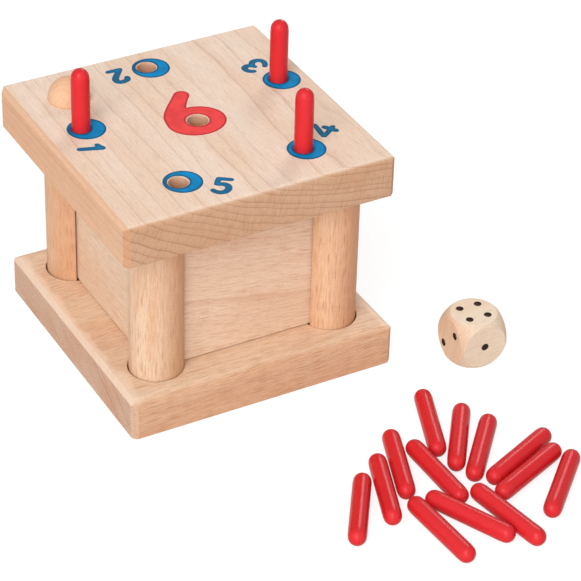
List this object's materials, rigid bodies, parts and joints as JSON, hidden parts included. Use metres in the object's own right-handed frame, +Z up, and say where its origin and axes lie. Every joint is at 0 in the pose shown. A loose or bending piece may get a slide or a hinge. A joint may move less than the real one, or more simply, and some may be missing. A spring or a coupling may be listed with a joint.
{
  "type": "wooden peg game",
  "caption": "Wooden box on round posts with a swivelling lid drilled for pegs, red round-ended pegs standing in it and lying beside it, and a die.",
  "frame": {"origin": "middle of the base board's underside, on the surface that the game stands on", "axes": "+Z up; +X to the right along the base's front edge; +Y to the back, so the pivot pin is at -X, +Y and the loose pegs lie at -Y"},
  "size_m": [0.1504, 0.2289, 0.1171],
  "materials": {
    "beech_lid": "sanded, unvarnished beech",
    "beech_base": "sanded, unvarnished beech",
    "beech_posts": "turned and sanded beech",
    "beech_panels": "planed beech",
    "pale_wood_pin": "turned pale wood",
    "pale_wood_die": "smooth pale wood",
    "red_paint": "satin red lacquer on wood",
    "red_print": "flat red ink printed on wood",
    "blue_print": "flat blue ink printed on wood",
    "black_pips": "black paint in the die's pips"
  },
  "bodies": {
    "box": {"base_board": "beech_base", "post_front_left": "beech_posts", "post_front_right": "beech_posts", "post_back_left": "beech_posts", "post_back_right": "beech_posts", "panel_front": "beech_panels", "panel_back": "beech_panels", "panel_left": "beech_panels", "panel_right": "beech_panels", "pivot_pin": "pale_wood_pin"},
    "lid": {"lid_board": "beech_lid"},
    "standing_peg_1": {"peg_in_hole_1": "red_paint"},
    "standing_peg_3": {"peg_in_hole_3": "red_paint"},
    "standing_peg_4": {"peg_in_hole_4": "red_paint"},
    "lying_peg_1": {"loose_peg_1": "red_paint"},
    "lying_peg_2": {"loose_peg_2": "red_paint"},
    "lying_peg_3": {"loose_peg_3": "red_paint"},
    "lying_peg_4": {"loose_peg_4": "red_paint"},
    "lying_peg_5": {"loose_peg_5": "red_paint"},
    "lying_peg_6": {"loose_peg_6": "red_paint"},
    "lying_peg_7": {"loose_peg_7": "red_paint"},
    "lying_peg_8": {"loose_peg_8": "red_paint"},
    "lying_peg_9": {"loose_peg_9": "red_paint"},
    "lying_peg_10": {"loose_peg_10": "red_paint"},
    "lying_peg_11": {"loose_peg_11": "red_paint"},
    "lying_peg_12": {"loose_peg_12": "red_paint"},
    "lying_peg_13": {"loose_peg_13": "red_paint"},
    "cube_die": {"die": "pale_wood_die"}
  },
  "joints": [
    {"name": "lid_swivel", "type": "hinge", "parent": "box", "child": "lid", "pos_m": [-0.03625, 0.03625, 0.08355], "axis": [0, 0, 1], "continuous": true},
    {"name": "peg_1_pull", "type": "slide", "parent": "lid", "child": "standing_peg_1", "axis": [0, 0, 1], "range_m": [0, 0.04]},
    {"name": "peg_3_pull", "type": "slide", "parent": "lid", "child": "standing_peg_3", "axis": [0, 0, 1], "range_m": [0, 0.04]},
    {"name": "peg_4_pull", "type": "slide", "parent": "lid", "child": "standing_peg_4", "axis": [0, 0, 1], "range_m": [0, 0.04]},
    {"name": "loose_peg_1_lift", "type": "slide", "parent": "box", "child": "lying_peg_1", "axis": [0, 0, 1], "range_m": [0, 0.05]},
    {"name": "loose_peg_2_lift", "type": "slide", "parent": "box", "child": "lying_peg_2", "axis": [0, 0, 1], "range_m": [0, 0.05]},
    {"name": "loose_peg_3_lift", "type": "slide", "parent": "box", "child": "lying_peg_3", "axis": [0, 0, 1], "range_m": [0, 0.05]},
    {"name": "loose_peg_4_lift", "type": "slide", "parent": "box", "child": "lying_peg_4", "axis": [0, 0, 1], "range_m": [0, 0.05]},
    {"name": "loose_peg_5_lift", "type": "slide", "parent": "box", "child": "lying_peg_5", "axis": [0, 0, 1], "range_m": [0, 0.05]},
    {"name": "loose_peg_6_lift", "type": "slide", "parent": "box", "child": "lying_peg_6", "axis": [0, 0, 1], "range_m": [0, 0.05]},
    {"name": "loose_peg_7_lift", "type": "slide", "parent": "box", "child": "lying_peg_7", "axis": [0, 0, 1], "range_m": [0, 0.05]},
    {"name": "loose_peg_8_lift", "type": "slide", "parent": "box", "child": "lying_peg_8", "axis": [0, 0, 1], "range_m": [0, 0.05]},
    {"name": "loose_peg_9_lift", "type": "slide", "parent": "box", "child": "lying_peg_9", "axis": [0, 0, 1], "range_m": [0, 0.05]},
    {"name": "loose_peg_10_lift", "type": "slide", "parent": "box", "child": "lying_peg_10", "axis": [0, 0, 1], "range_m": [0, 0.05]},
    {"name": "loose_peg_11_lift", "type": "slide", "parent": "box", "child": "lying_peg_11", "axis": [0, 0, 1], "range_m": [0, 0.05]},
    {"name": "loose_peg_12_lift", "type": "slide", "parent": "box", "child": "lying_peg_12", "axis": [0, 0, 1], "range_m": [0, 0.05]},
    {"name": "loose_peg_13_lift", "type": "slide", "parent": "box", "child": "lying_peg_13", "axis": [0, 0, 1], "range_m": [0, 0.05]},
    {"name": "die_lift", "type": "slide", "parent": "box", "child": "cube_die", "axis": [0, 0, 1], "range_m": [0, 0.05]}
  ]
}
